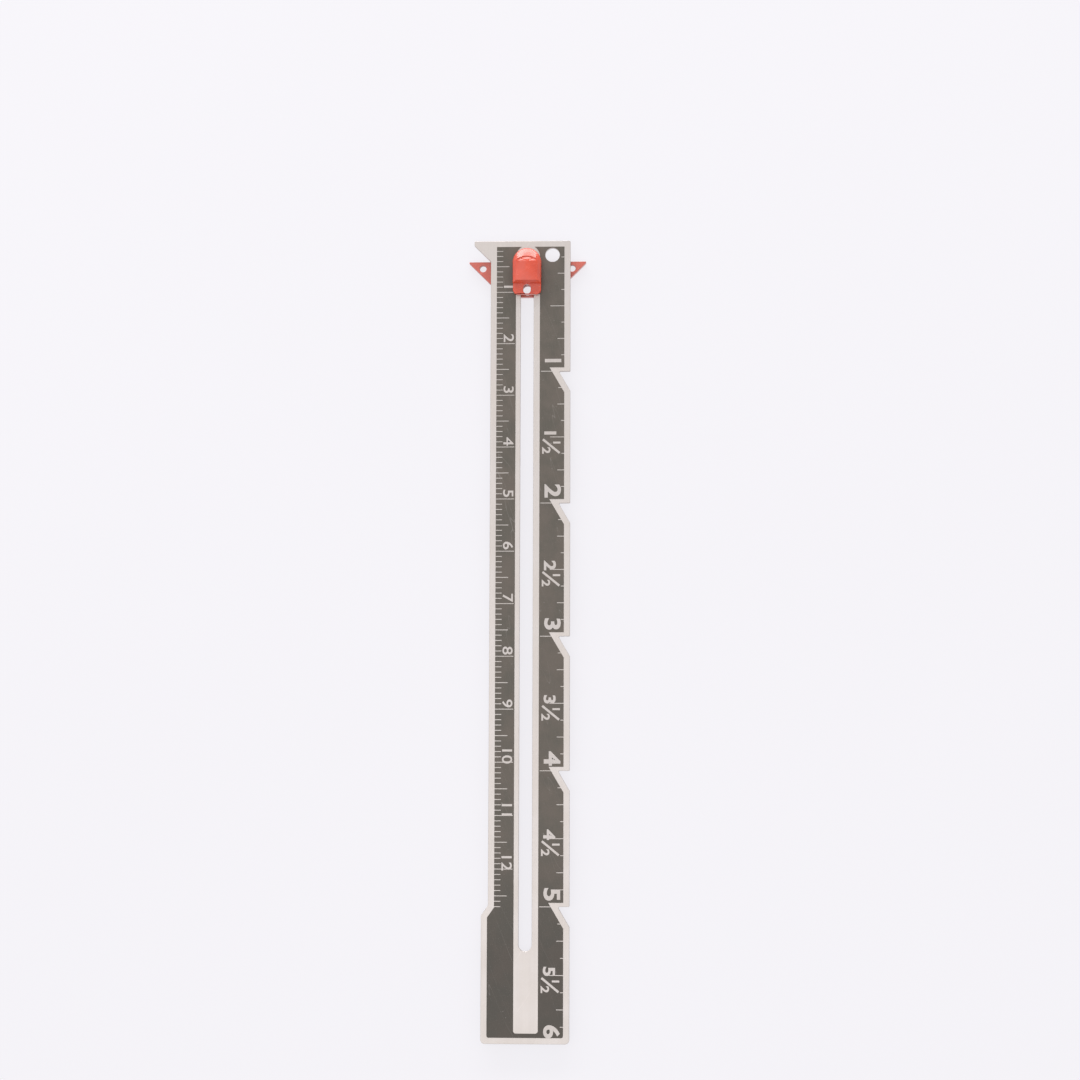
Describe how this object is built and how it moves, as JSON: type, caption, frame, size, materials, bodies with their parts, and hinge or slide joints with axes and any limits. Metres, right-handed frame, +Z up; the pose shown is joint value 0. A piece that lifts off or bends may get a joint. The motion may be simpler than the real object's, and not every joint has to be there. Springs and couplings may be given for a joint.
{
  "type": "sewing gauge",
  "caption": "Flat aluminium sewing gauge with a hooked zero end, stepped inch edge, printed inch and centimetre scales and a red slider in a central slot.",
  "frame": {"origin": "centre of the bounding box in X and Y, at the underside of the slider's cross plate", "axes": "+Y along the blade towards the zero end with the hook and the parked slider, +X across the blade towards the stepped edge, +Z up out of the printed face"},
  "size_m": [0.0226, 0.1524, 0.0049],
  "materials": {
    "blade_metal": "brushed",
    "scale_print": "satin",
    "slider_plastic": "semi-gloss"
  },
  "bodies": {
    "gauge": {"blade": "blade_metal", "cm_scale": "scale_print", "inch_scale": "scale_print"},
    "slider": {"slider_plate": "slider_plastic", "slider_knob": "slider_plastic"}
  },
  "joints": [
    {"name": "slider_travel", "type": "slide", "parent": "gauge", "child": "slider", "axis": [0, -1, 0], "range_m": [0, 0.1266]}
  ]
}
